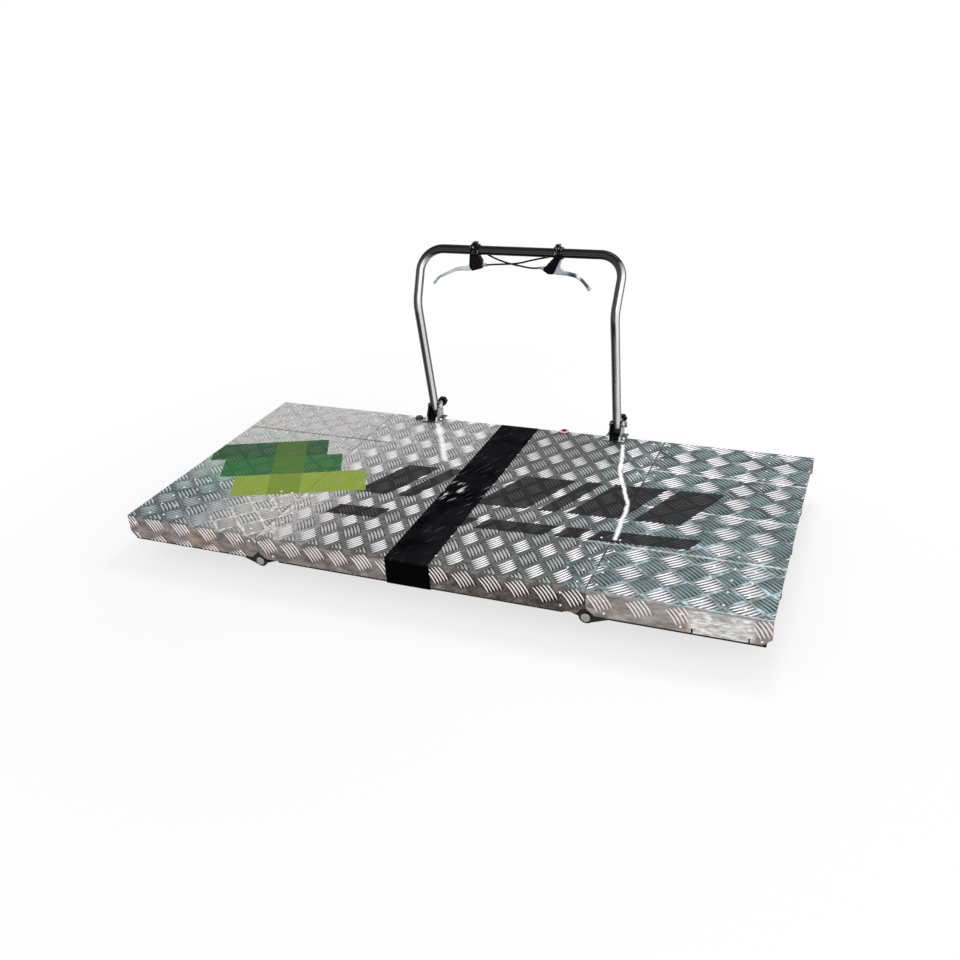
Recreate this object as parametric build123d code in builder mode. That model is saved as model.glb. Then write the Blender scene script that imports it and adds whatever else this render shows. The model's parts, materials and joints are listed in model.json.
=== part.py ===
"""Folding railway push trolley for 1435 mm track, with a fold-down push handle.

Millimetres, +Z up.  X runs across the rails, Y along the track with the handle at +Y,
and the origin is on the floor under the middle of the deck.
"""

from build123d import *
from math import cos, radians, sin
import os

os.makedirs("parts", exist_ok=True)

# Deck: a middle panel and two flaps that fold down about pins on their lower edge
deck_length = 1650.0
deck_width = 782.0
center_length = 850.0
plate_thickness = 3.0
bend_radius = 4.0
skirt_height = 65.0
seam_gap = 3.0
corner_cut_x = 22.0
corner_cut_z = 19.0
slot_width = 3.5
slot_height = 13.0
slot_places = (659.0, 778.0)

# Wheels: tread, flange and where they stand under the flaps
flange_radius = 55.0
tread_radius = 47.0
tread_taper = 1.0
flange_thickness = 8.0
flange_inner_x = 702.0
wheel_width = 84.0
wheel_inset = 121.0
wheel_y = deck_width / 2 - wheel_inset
rim_depth = 9.0
web_thickness = 10.0
hub_radius = 19.0
axle_radius = 10.0
lightening_hole_radius = 6.0
lightening_hole_count = 6

# Fold geometry: the pins are level with the axles
fold_clearance = 2.5
frame_drop = 4.5
pin_z = flange_radius
pin_x = center_length / 2
frame_bottom = pin_z + fold_clearance
skirt_bottom = frame_bottom + frame_drop
deck_top = skirt_bottom + skirt_height
frame_top = deck_top - plate_thickness

# Frames under the plates
rail_width = 30.0
rail_wall = 4.0
stringer_width = 16.0
stringer_wall = 3.0
stringer_y = deck_width / 4
stringer_inset = 6.0
stop_gap = 0.5
beam_width = 30.0
hinge_reach = 53.0
mid_beam_x = 215.0
end_beam_size = 20.0
end_beam_inset = 15.0
rail_end_inset = 12.0
axle_beam_size = 40.0

# Hinge lugs and pins
lug_radius = 17.0
lug_thickness = 10.0
lug_gap = 2.0
lug_side_gap = 1.0
pin_radius = 7.0
pin_head_radius = 11.0
pin_head_length = 3.5
running_clearance = 0.05

# Axles and their brackets
bracket_thickness = 8.0
bracket_half_width = 32.0
bracket_foot_radius = 20.0
bracket_boss_radius = 18.0
bracket_boss_length = 12.0
axle_collar_radius = 16.0
axle_collar_length = 4.0
axle_side_play = 0.5
axle_nut_flats = 30.0
axle_nut_length = 12.0

# Brake shoes beside the two back wheels
shoe_gap = 3.0
shoe_thickness = 10.0
shoe_half_angle = 25.0
shoe_margin = 6.0

# Black band over the middle panel
band_x = (-66.0, 49.0)
band_thickness = 0.8
band_back_drop = 30.0

# Handle: one bent tube between two brackets on the back edge, a little wider at its top
back_edge_y = deck_width / 2
tube_radius = 12.7
tube_wall = 1.6
foot_x = 285.0
bend_x = 291.0
bar_half = 299.0
foot_y = back_edge_y
foot_height = 32.0
bend_inset = 39.0
bend_y = back_edge_y - bend_inset
bend_height = 375.0
bar_reach = 41.0
bar_y = back_edge_y + bar_reach
bar_height = 513.5
leg_bend_radius = 65.0
corner_radius = 64.0
pivot_from_foot = 9.0

# Handle brackets: two slanted ears on a base that is bent down over the back skirt
ear_thickness = 3.0
ear_side_gap = 1.6
ear_reach = 38.0
ear_front_y = back_edge_y - ear_reach
ear_tip_width = 6.0
bracket_base_thickness = 4.0
bracket_base_half_width = 30.0
bracket_back_thickness = 4.0
bracket_skirt_drop = 42.0
bracket_height = 44.0
ear_height = 50.0
pivot_radius = 4.0
pivot_head_radius = 7.0
pivot_head_length = 4.0
tab_width = 8.0
tab_heights = (25.0, 42.0)

# Clamp knobs behind the brackets, each on a long bolt
knob_height = 32.0
knob_reach = 49.0
knob_start_y = back_edge_y + knob_reach
knob_radius = 14.4
knob_length = 15.0
knob_lobes = 6
knob_bolt_radius = 4.0
knob_collar_radius = 6.5
knob_collar_length = 6.0
knob_nut_flats = 13.0
knob_nut_length = 7.0

# Rubber rest bumper beside the left bracket
bumper_x = -332.0
bumper_inset = 20.0
bumper_y = back_edge_y - bumper_inset
bumper_radius = 12.0
bumper_height = 10.0

# Brake levers on the bar. Their outlines are in parts of the lever's depth under the bar
lever_depth = 58.0
clamp_wall = 4.3
clamp_width = 24.0
clamp_ear_width = 12.0
clamp_ear_height = 6.0
perch_thickness = 18.0
blade_thickness = 11.0
blade_tip_radius = 4.5
adjuster_radius = 4.5
adjuster_length = 13.0
cable_radius = 2.5
lever_table = (
    # name, clamp x, clamp turn in degrees, perch outline, blade outline, blade tip, adjuster start
    (
        "left",
        -132.4,
        0.0,
        ((-0.24, 0.0), (-0.29, -0.28), (-0.345, -0.69), (-0.33, -0.84), (-0.19, -1.0), (0.31, -0.86),
         (0.28, -0.79), (0.31, -0.53), (0.26, -0.41), (0.17, -0.28), (0.22, 0.0)),
        ((-0.345, -0.72), (-0.6, -0.84), (-0.88, -0.86), (-1.19, -0.93), (-1.45, -1.05), (-1.81, -1.22),
         (-2.1, -1.38), (-2.35, -1.66), (-2.28, -1.72), (-2.04, -1.46), (-1.88, -1.4), (-1.62, -1.28),
         (-1.36, -1.17), (-1.12, -1.07), (-0.84, -1.03), (-0.62, -1.02), (-0.2, -1.0), (-0.33, -0.86)),
        (-2.33, -1.7),
        (0.3, -0.72),
    ),
    (
        "right",
        112.6,
        -12.0,
        ((-0.18, 0.0), (-0.16, -0.16), (-0.34, -0.31), (-0.43, -0.43), (-0.53, -0.5), (-0.59, -0.62),
         (-0.71, -0.67), (-0.78, -0.83), (-0.52, -1.0), (-0.29, -1.0), (-0.07, -0.57), (0.09, -0.26),
         (0.22, 0.0)),
        ((0.19, -0.24), (0.1, -0.4), (0.03, -0.62), (0.05, -0.74), (0.22, -0.86), (0.53, -0.91),
         (0.83, -0.98), (1.14, -1.22), (1.26, -1.36), (1.45, -1.57), (1.5, -1.7), (1.38, -1.64),
         (1.2, -1.42), (1.07, -1.29), (0.81, -1.13), (0.45, -1.05), (-0.28, -1.0), (-0.07, -0.57),
         (0.09, -0.26)),
        (1.46, -1.66),
        (-0.74, -0.75),
    ),
)
# Each cable runs from its lever's adjuster across to a hole in the bar's far half
cable_table = (
    # lever, points (x, offset along the track, height) in parts of the lever's depth
    (
        "left",
        ((-1.745, 0.0, -0.72), (-1.22, -0.03, -0.66), (-0.6, -0.06, -0.61), (0.02, -0.05, -0.53),
         (0.5, -0.03, -0.41), (1.0, 0.0, -0.3), (1.5, 0.0, -0.19)),
    ),
    (
        "right",
        ((0.965, 0.0, -0.745), (0.62, 0.01, -0.78), (0.02, 0.04, -0.72), (-0.6, 0.06, -0.615),
         (-1.1, 0.03, -0.46), (-1.45, 0.0, -0.31), (-1.72, 0.0, -0.17)),
    ),
)

# Red marker lamp at the back edge
lamp_x = 129.0
lamp_inset = 5.0
lamp_y = back_edge_y - lamp_inset
lamp_radius = 13.8
lamp_height = 5.0
lamp_lens_radius = 6.8
lamp_lens_height = 6.5

half_length = deck_length / 2
half_width = deck_width / 2
skirt_inner_y = half_width - plate_thickness
rail_inner_y = skirt_inner_y - rail_width
wheel_outer_x = flange_inner_x + wheel_width
pivot_lean = (bend_y - foot_y) / (bend_height - foot_height)
pivot_height = foot_height + pivot_from_foot
pivot_y = foot_y + pivot_lean * pivot_from_foot


def span_box(xs, ys, zs, mode=Mode.ADD):
    """A box between two places along each axis."""
    middle = [(a + b) / 2 for a, b in (xs, ys, zs)]
    size = [abs(b - a) for a, b in (xs, ys, zs)]
    with Locations(tuple(middle)):
        Box(*size, mode=mode)


def box_tube_y(x, width, wall, ys, zs):
    """A rectangular tube along Y, closed by what it is welded to."""
    span_box((x - width / 2, x + width / 2), ys, zs)
    inner_z = (zs[0] + wall, zs[1] - wall)
    span_box((x - width / 2 + wall, x + width / 2 - wall), ys, inner_z, Mode.SUBTRACT)


def outline(plane, points):
    """A closed flat shape with straight sides on a plane."""
    with BuildSketch(plane) as flat:
        with BuildLine():
            Polyline(*points, close=True)
        make_face()
    return flat.sketch


def disc(plane, center, radius):
    with BuildSketch(plane) as flat:
        with Locations(center):
            Circle(radius)
    return flat.sketch


def keep(builder, name):
    builder.part.label = name
    export_step(builder.part, f"parts/{name}.step")


def channel_rail(side_y, x_from, x_to):
    """A channel along X behind a skirt, open towards the middle of the deck."""
    outer = side_y * skirt_inner_y
    inner = side_y * rail_inner_y
    wall = side_y * (skirt_inner_y - rail_wall)
    span_box((x_from, x_to), (outer, wall), (frame_bottom, frame_top))
    for low in (frame_bottom, frame_top - rail_wall):
        span_box((x_from, x_to), (outer, inner), (low, low + rail_wall))


def box_tube_x(y, width, wall, xs, zs):
    """A rectangular tube along X with open ends."""
    span_box(xs, (y - width / 2, y + width / 2), zs)
    span_box(xs, (y - width / 2 + wall, y + width / 2 - wall), (zs[0] + wall, zs[1] - wall), Mode.SUBTRACT)


def add_lug(side, towards, y_from, bore):
    """Lugs at the front and the back: a boss round the pin and a full-height root plate."""
    root = side * (pin_x + towards * hinge_reach)
    near = side * (pin_x + towards * (seam_gap / 2 + lug_radius))
    shoulder = lug_radius * 0.7
    points = (
        (side * pin_x, pin_z - lug_radius),
        (root, frame_bottom),
        (root, frame_top),
        (near, frame_top),
        (side * (pin_x - towards * shoulder), pin_z + shoulder),
        (side * pin_x, pin_z),
    )
    pin_center = (side * pin_x, pin_z)
    for side_y in (-1, 1):
        y_ends = (side_y * y_from, side_y * (y_from - lug_thickness))
        start = Plane.XZ.offset(-max(y_ends))
        extrude(outline(start, points), amount=lug_thickness)
        extrude(disc(start, pin_center, lug_radius), amount=lug_thickness)
        extrude(disc(start, pin_center, bore), amount=lug_thickness, mode=Mode.SUBTRACT)


# The lugs' places along the pin, from the skirt inwards: flap, middle, flap
lug_outer_y = skirt_inner_y - lug_side_gap
lug_middle_y = lug_outer_y - lug_thickness - lug_gap
lug_inner_y = lug_middle_y - lug_thickness - lug_gap
pin_bore = pin_radius + running_clearance
cross_y = (-stringer_y, 0.0, stringer_y)


def corner_cuts(corners):
    """Slanted cuts off the skirts' lower corners; each corner is (x, direction into the plate)."""
    for x, inwards in corners:
        points = (
            (x, skirt_bottom),
            (x + inwards * corner_cut_x, skirt_bottom),
            (x, skirt_bottom + corner_cut_z),
        )
        extrude(outline(Plane.XZ.offset(-half_width), points), amount=deck_width, mode=Mode.SUBTRACT)


def tread_plate(x_from, x_to):
    """A folded plate: flat top with a skirt bent down along the front and the back."""
    with BuildSketch(Plane.YZ.offset(min(x_from, x_to))) as section:
        with Locations((0, deck_top - skirt_height / 2)):
            Rectangle(deck_width, skirt_height)
        fillet(section.vertices().group_by(Axis.Z)[-1], bend_radius)
        with Locations((0, deck_top - plate_thickness - skirt_height / 2)):
            Rectangle(deck_width - 2 * plate_thickness, skirt_height, mode=Mode.SUBTRACT)
    extrude(section.sketch, amount=abs(x_to - x_from))


center_half = pin_x - seam_gap / 2
flap_start = pin_x + seam_gap / 2

with BuildPart() as center_plate:
    tread_plate(-center_half, center_half)
    corner_cuts(((-center_half, 1), (center_half, -1)))
keep(center_plate, "center_plate")

rail_end = pin_x - hinge_reach
with BuildPart() as center_frame:
    beams = (
        # x, lowest z
        (-rail_end + beam_width / 2, frame_bottom),
        (-mid_beam_x, frame_top - axle_beam_size),
        (0.0, frame_top - axle_beam_size),
        (mid_beam_x, frame_top - axle_beam_size),
        (rail_end - beam_width / 2, frame_bottom),
    )
    for x, low in beams:
        box_tube_y(x, beam_width, stringer_wall, (-rail_inner_y, rail_inner_y), (low, frame_top))
    for side_y in (-1, 1):
        channel_rail(side_y, -rail_end, rail_end)
    for y in cross_y:
        box_tube_x(y, stringer_width, stringer_wall,
                   (-pin_x + stop_gap / 2, pin_x - stop_gap / 2), (frame_bottom, frame_top))
    for side in (-1, 1):
        add_lug(side, -1, lug_middle_y, pin_bore)
keep(center_frame, "center_frame")

for side, name in ((-1, "left"), (1, "right")):
    with BuildPart() as hinge_pins:
        for side_y in (-1, 1):
            head_start = Plane.XZ.offset(-side_y * (lug_outer_y + 0.5))
            with BuildSketch(head_start):
                with Locations((side * pin_x, pin_z)):
                    Circle(pin_head_radius)
            extrude(amount=-side_y * (pin_head_length + 0.5))
            with BuildSketch(head_start):
                with Locations((side * pin_x, pin_z)):
                    Circle(pin_radius)
            extrude(amount=side_y * (lug_outer_y + 0.5 - lug_inner_y + lug_thickness + lug_gap))
    keep(hinge_pins, f"{name}_hinge_pins")

    with BuildPart() as flap_plate:
        tread_plate(side * flap_start, side * half_length)
        corner_cuts(((side * flap_start, side), (side * half_length, -side)))
        if side > 0:
            for x in slot_places:
                span_box((x - slot_width / 2, x + slot_width / 2), (-half_width, -skirt_inner_y),
                         (skirt_bottom, skirt_bottom + slot_height), Mode.SUBTRACT)
    keep(flap_plate, f"{name}_flap_plate")

    flap_rail_start = pin_x + hinge_reach
    axle_beam_x = flange_inner_x - axle_collar_length - 2 * axle_side_play - bracket_thickness
    with BuildPart() as flap_frame:
        box_tube_y(side * (flap_rail_start + beam_width / 2), beam_width, stringer_wall,
                   (-rail_inner_y, rail_inner_y), (frame_bottom, frame_top))
        box_tube_y(side * (half_length - end_beam_inset - end_beam_size / 2), end_beam_size,
                   stringer_wall, (-rail_inner_y, rail_inner_y), (frame_top - end_beam_size, frame_top))
        for side_y in (-1, 1):
            channel_rail(side_y, side * flap_rail_start, side * (half_length - rail_end_inset))
            near_y = side_y * (stringer_y + stringer_width / 2)
            box_tube_y(side * (axle_beam_x - axle_beam_size / 2), axle_beam_size, stringer_wall,
                       (near_y, side_y * rail_inner_y), (frame_top - axle_beam_size, frame_top))
        for y in cross_y:
            box_tube_x(y, stringer_width, stringer_wall,
                       (side * (pin_x + stop_gap / 2), side * (half_length - stringer_inset)),
                       (frame_bottom, frame_top))
        add_lug(side, 1, lug_outer_y, pin_bore)
        add_lug(side, 1, lug_inner_y, pin_bore)
    keep(flap_frame, f"{name}_flap_frame")

    for side_y, place in ((-1, "front"), (1, "back")):
        y = side_y * wheel_y
        corner = f"{place}_{name}"

        with BuildPart() as axle_bracket:
            with BuildSketch(Plane.YZ.offset(side * axle_beam_x)):
                with Locations((y, pin_z)):
                    Circle(bracket_foot_radius)
                with BuildLine():
                    Polyline(
                        (y - bracket_foot_radius, pin_z),
                        (y + bracket_foot_radius, pin_z),
                        (y + bracket_half_width, frame_top - axle_beam_size),
                        (y + bracket_half_width, frame_top),
                        (y - bracket_half_width, frame_top),
                        (y - bracket_half_width, frame_top - axle_beam_size),
                        close=True,
                    )
                make_face()
            extrude(amount=side * bracket_thickness)
            with BuildSketch(Plane.YZ.offset(side * axle_beam_x)):
                with Locations((y, pin_z)):
                    Circle(bracket_boss_radius)
            extrude(amount=-side * bracket_boss_length)
            with BuildSketch(Plane.YZ.offset(side * (axle_beam_x - bracket_boss_length))):
                with Locations((y, pin_z)):
                    Circle(axle_radius + running_clearance)
            extrude(amount=side * (bracket_boss_length + bracket_thickness), mode=Mode.SUBTRACT)
        keep(axle_bracket, f"axle_bracket_{corner}")

        bracket_face = axle_beam_x + bracket_thickness
        nut_face = axle_beam_x - bracket_boss_length
        with BuildPart() as axle:
            stations = (
                # from x, to x, radius
                (nut_face - axle_nut_length, wheel_outer_x + axle_side_play, axle_radius),
                (bracket_face, bracket_face + axle_collar_length, axle_collar_radius),
                (wheel_outer_x + axle_side_play,
                 wheel_outer_x + axle_side_play + axle_collar_length, axle_collar_radius),
            )
            for start, end, radius in stations:
                with BuildSketch(Plane.YZ.offset(side * start)):
                    with Locations((y, pin_z)):
                        Circle(radius)
                extrude(amount=side * (end - start))
            with BuildSketch(Plane.YZ.offset(side * nut_face)):
                with Locations((y, pin_z)):
                    RegularPolygon(axle_nut_flats / 2, 6, major_radius=False)
            extrude(amount=-side * axle_nut_length * 0.7)
        keep(axle, f"axle_{corner}")

        with BuildPart() as wheel:
            x0 = side * flange_inner_x
            x1 = side * (flange_inner_x + flange_thickness)
            x2 = side * wheel_outer_x
            web_mid = side * (flange_inner_x + wheel_width / 2)
            with BuildSketch(Plane.XY.offset(pin_z)):
                with BuildLine():
                    Polyline(
                        (x0, y + axle_radius + running_clearance),
                        (x0, y + hub_radius),
                        (web_mid - side * web_thickness / 2, y + hub_radius),
                        (web_mid - side * web_thickness / 2, y + tread_radius - rim_depth),
                        (x0, y + tread_radius - rim_depth),
                        (x0, y + flange_radius),
                        (x1, y + flange_radius),
                        (x1, y + tread_radius),
                        (x2, y + tread_radius - tread_taper),
                        (x2, y + tread_radius - rim_depth),
                        (web_mid + side * web_thickness / 2, y + tread_radius - rim_depth),
                        (web_mid + side * web_thickness / 2, y + hub_radius),
                        (x2, y + hub_radius),
                        (x2, y + axle_radius + running_clearance),
                        close=True,
                    )
                make_face()
            revolve(axis=Axis((0, y, pin_z), (1, 0, 0)))
            hole_circle = (hub_radius + tread_radius - rim_depth) / 2
            with BuildSketch(Plane.YZ.offset(web_mid - web_thickness)):
                with Locations((y, pin_z)):
                    with PolarLocations(hole_circle, lightening_hole_count):
                        Circle(lightening_hole_radius)
            extrude(amount=2 * web_thickness, mode=Mode.SUBTRACT)
        keep(wheel, f"wheel_{corner}")

    with BuildPart() as brake_shoe:
        shoe_inner = tread_radius + shoe_gap
        shoe_outer = shoe_inner + shoe_thickness
        shoe_x0 = flange_inner_x + flange_thickness + shoe_margin
        shoe_x1 = wheel_outer_x - shoe_margin
        a = radians(shoe_half_angle)
        with BuildSketch(Plane.YZ.offset(side * shoe_x0)):
            with BuildLine():
                outer_arc = CenterArc((wheel_y, pin_z), shoe_outer, -shoe_half_angle, 2 * shoe_half_angle)
                inner_arc = CenterArc((wheel_y, pin_z), shoe_inner, -shoe_half_angle, 2 * shoe_half_angle)
                Line(outer_arc @ 0, inner_arc @ 0)
                Line(outer_arc @ 1, inner_arc @ 1)
            make_face()
        extrude(amount=side * (shoe_x1 - shoe_x0))
        arm_z = (frame_bottom + rail_wall, frame_bottom + rail_wall + 14.0)
        arm_start = wheel_y + shoe_outer * cos(a)
        shoe_mid = (shoe_x0 + shoe_x1) / 2
        span_box((side * (shoe_mid - 12), side * (shoe_mid + 12)),
                 (arm_start, skirt_inner_y - rail_wall), arm_z)
    keep(brake_shoe, f"{name}_brake_shoe")

with BuildPart() as cover_band:
    outer_top = deck_top + band_thickness
    outer_y = half_width + band_thickness
    with BuildSketch(Plane.YZ.offset(band_x[0])):
        with BuildLine():
            Polyline(
                (-outer_y, frame_bottom),
                (-outer_y, outer_top),
                (outer_y, outer_top),
                (outer_y, outer_top - band_back_drop),
                (half_width, outer_top - band_back_drop),
                (half_width, deck_top),
                (-half_width, deck_top),
                (-half_width, frame_bottom),
                close=True,
            )
        make_face()
        outer_corners = vertices().group_by(Axis.Y)[-1]
        fillet(outer_corners, bend_radius + band_thickness)
        inner_corners = [v for v in vertices() if abs(v.Y - deck_top) < 0.01]
        fillet(inner_corners, bend_radius)
    extrude(amount=band_x[1] - band_x[0])
keep(cover_band, "cover_band")

back_inner_y = pivot_y + (tube_radius ** 2 + pivot_from_foot ** 2) ** 0.5 + 1.0
back_outer_y = back_inner_y + bracket_back_thickness
ear_inner_x = tube_radius + ear_side_gap
ear_outer_x = ear_inner_x + ear_thickness
pivot_z = deck_top + pivot_height

for side, name in ((-1, "left"), (1, "right")):
    x = side * foot_x
    with BuildPart() as handle_bracket:
        span_box((x - bracket_base_half_width, x + bracket_base_half_width),
                 (ear_front_y, back_outer_y), (deck_top, deck_top + bracket_base_thickness))
        span_box((x - bracket_base_half_width, x + bracket_base_half_width),
                 (half_width, half_width + bracket_back_thickness),
                 (deck_top - bracket_skirt_drop, deck_top))
        span_box((x - ear_outer_x, x + ear_outer_x), (back_inner_y, back_outer_y),
                 (deck_top, deck_top + bracket_height))
        if side > 0:
            span_box((x, x + ear_outer_x + tab_width), (back_inner_y, back_outer_y),
                     (deck_top + tab_heights[0], deck_top + tab_heights[1]))
        for x_start in (x - ear_outer_x, x + ear_inner_x):
            ear_points = (
                (ear_front_y, deck_top),
                (pivot_y - ear_tip_width, deck_top + ear_height),
                (back_outer_y, deck_top + bracket_height),
                (back_outer_y, deck_top),
            )
            extrude(outline(Plane.YZ.offset(x_start), ear_points), amount=ear_thickness)
            extrude(disc(Plane.YZ.offset(x_start), (pivot_y, pivot_z), pivot_radius + running_clearance),
                    amount=ear_thickness, mode=Mode.SUBTRACT)
        extrude(disc(Plane.XZ.offset(-back_outer_y), (x, deck_top + knob_height),
                     knob_bolt_radius + running_clearance),
                amount=bracket_back_thickness, mode=Mode.SUBTRACT)
    keep(handle_bracket, f"{name}_handle_bracket")

    with BuildPart() as pivot_bolt:
        with BuildSketch(Plane.YZ.offset(x - ear_outer_x - 0.2)):
            with Locations((pivot_y, pivot_z)):
                Circle(pivot_radius)
        extrude(amount=2 * ear_outer_x + 0.4)
        with BuildSketch(Plane.YZ.offset(x - ear_outer_x - 0.2)):
            with Locations((pivot_y, pivot_z)):
                RegularPolygon(pivot_head_radius, 6)
        extrude(amount=-pivot_head_length)
        with BuildSketch(Plane.YZ.offset(x + ear_outer_x + 0.2)):
            with Locations((pivot_y, pivot_z)):
                RegularPolygon(pivot_head_radius, 6)
        extrude(amount=pivot_head_length)
    keep(pivot_bolt, f"{name}_handle_pivot")

    knob_center = (x, deck_top + knob_height)
    with BuildPart() as clamp_bolt:
        shank_start = back_inner_y + 0.3
        shank_end = knob_start_y + knob_length * 0.7
        extrude(disc(Plane.XZ.offset(-shank_start), knob_center, knob_bolt_radius),
                amount=shank_start - shank_end)
        with BuildSketch(Plane.XZ.offset(-back_outer_y - 0.2)):
            with Locations(knob_center):
                RegularPolygon(knob_nut_flats / 2, 6, major_radius=False)
        extrude(amount=-knob_nut_length)
        collar_start = knob_start_y - 0.3
        extrude(disc(Plane.XZ.offset(-collar_start), knob_center, knob_collar_radius),
                amount=knob_collar_length)
    keep(clamp_bolt, f"{name}_clamp_bolt")

    with BuildPart() as clamp_knob:
        with BuildSketch(Plane.XZ.offset(-knob_start_y)):
            with Locations(knob_center):
                Circle(knob_radius * 0.90)
                with PolarLocations(knob_radius * 0.70, knob_lobes):
                    Circle(knob_radius * 0.30)
        extrude(amount=-knob_length)
        extrude(disc(Plane.XZ.offset(-knob_start_y), knob_center, knob_bolt_radius + running_clearance),
                amount=-knob_length * 0.8, mode=Mode.SUBTRACT)
    keep(clamp_knob, f"{name}_clamp_knob")

with BuildPart() as handle_tube:
    with BuildLine() as handle_path:
        FilletPolyline(
            (-foot_x, foot_y, deck_top + foot_height),
            (-bend_x, bend_y, deck_top + bend_height),
            (-bar_half, bar_y, deck_top + bar_height),
            (bar_half, bar_y, deck_top + bar_height),
            (bend_x, bend_y, deck_top + bend_height),
            (foot_x, foot_y, deck_top + foot_height),
            radius=[leg_bend_radius, corner_radius, corner_radius, leg_bend_radius],
        )
    with BuildSketch(Plane(origin=handle_path.line @ 0, z_dir=handle_path.line % 0)):
        Circle(tube_radius)
        Circle(tube_radius - tube_wall, mode=Mode.SUBTRACT)
    sweep()
    for side in (-1, 1):
        with BuildSketch(Plane.YZ.offset(side * foot_x - 1.5 * tube_radius)):
            with Locations((pivot_y, pivot_z)):
                Circle(pivot_radius + running_clearance)
        extrude(amount=3 * tube_radius, mode=Mode.SUBTRACT)
keep(handle_tube, "handle_tube")

bar_z = deck_top + bar_height


def near_bar(middle_x, points):
    """Points in the bar's plane from a table in parts of the lever's depth."""
    return [(middle_x + u * lever_depth, bar_z + w * lever_depth) for u, w in points]


def bar_plane(thickness):
    """The plane in front of the bar from which a lever part of this thickness starts."""
    return Plane.XZ.offset(-bar_y - thickness / 2)


for name, clamp_x, clamp_turn, perch_outline, blade_outline, blade_tip, adjuster_start in lever_table:
    clamp_ends = (clamp_x - clamp_width / 2, clamp_x + clamp_width / 2)
    lean = -sin(radians(clamp_turn)) * clamp_ear_height
    with BuildPart() as perch:
        extrude(disc(Plane.YZ.offset(clamp_ends[0]), (bar_y, bar_z), tube_radius + clamp_wall),
                amount=clamp_width)
        ear_points = (
            (clamp_x - clamp_ear_width / 2, bar_z + tube_radius),
            (clamp_x + clamp_ear_width / 2, bar_z + tube_radius),
            (clamp_x + clamp_ear_width / 2 - lean, bar_z + tube_radius + clamp_wall + clamp_ear_height),
            (clamp_x - clamp_ear_width / 2 - lean, bar_z + tube_radius + clamp_wall + clamp_ear_height),
        )
        extrude(outline(bar_plane(perch_thickness), ear_points), amount=perch_thickness)
        extrude(outline(bar_plane(perch_thickness), near_bar(clamp_x, perch_outline)),
                amount=perch_thickness)
        extrude(disc(Plane.YZ.offset(clamp_x - lever_depth), (bar_y, bar_z),
                     tube_radius + running_clearance),
                amount=2 * lever_depth, mode=Mode.SUBTRACT)
    keep(perch, f"{name}_lever_perch")

    towards_middle = 1 if clamp_x < 0 else -1
    with BuildPart() as adjuster:
        start_x, start_z = near_bar(clamp_x, (adjuster_start,))[0]
        extrude(disc(Plane.YZ.offset(start_x), (bar_y, start_z), adjuster_radius),
                amount=towards_middle * adjuster_length)
        extrude(outline(bar_plane(perch_thickness), near_bar(clamp_x, perch_outline)),
                amount=perch_thickness, mode=Mode.SUBTRACT)
    keep(adjuster, f"{name}_cable_adjuster")

    with BuildPart() as blade:
        extrude(outline(bar_plane(blade_thickness), near_bar(clamp_x, blade_outline)),
                amount=blade_thickness)
        tip_center = near_bar(clamp_x, (blade_tip,))[0]
        extrude(disc(bar_plane(blade_thickness), tip_center, blade_tip_radius), amount=blade_thickness)
        extrude(disc(Plane.YZ.offset(clamp_ends[0]), (bar_y, bar_z), tube_radius + clamp_wall),
                amount=clamp_width, mode=Mode.SUBTRACT)
        extrude(outline(bar_plane(perch_thickness), near_bar(clamp_x, perch_outline)),
                amount=perch_thickness, mode=Mode.SUBTRACT)
    keep(blade, f"{name}_brake_blade")

for name, route in cable_table:
    points = [(u * lever_depth, bar_y + v * lever_depth, bar_z + w * lever_depth) for u, v, w in route]
    with BuildPart() as cable:
        with BuildLine() as cable_path:
            Spline(*points)
        with BuildSketch(Plane(origin=cable_path.line @ 0, z_dir=cable_path.line % 0)):
            Circle(cable_radius)
        sweep()
        extrude(disc(Plane.YZ.offset(-foot_x), (bar_y, bar_z), tube_radius + 0.1), amount=2 * foot_x,
                mode=Mode.SUBTRACT)
    keep(cable, f"{name}_brake_cable")

with BuildPart() as rest_bumper:
    extrude(disc(Plane.XY.offset(deck_top), (bumper_x, bumper_y), bumper_radius), amount=bumper_height)
    fillet(rest_bumper.edges().group_by(Axis.Z)[-1], bumper_height * 0.7)
keep(rest_bumper, "rest_bumper")

with BuildPart() as lamp_ring:
    with BuildSketch(Plane.XY.offset(deck_top)):
        with Locations((lamp_x, lamp_y)):
            Circle(lamp_radius)
            Circle(lamp_lens_radius, mode=Mode.SUBTRACT)
    extrude(amount=lamp_height)
keep(lamp_ring, "marker_lamp_ring")

with BuildPart() as lamp_lens:
    with BuildSketch(Plane.XY.offset(deck_top)):
        with Locations((lamp_x, lamp_y)):
            Circle(lamp_lens_radius)
    extrude(amount=lamp_lens_height)
    fillet(lamp_lens.edges().group_by(Axis.Z)[-1], lamp_lens_height - lamp_height)
keep(lamp_lens, "marker_lamp_lens")
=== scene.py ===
"""Looks of the folding railway push trolley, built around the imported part.

Metres, +Z up, origin on the floor under the middle of the deck, as in the part.
"""

import json
from collections import namedtuple
from math import atan2, cos, pi, radians, sin

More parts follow.
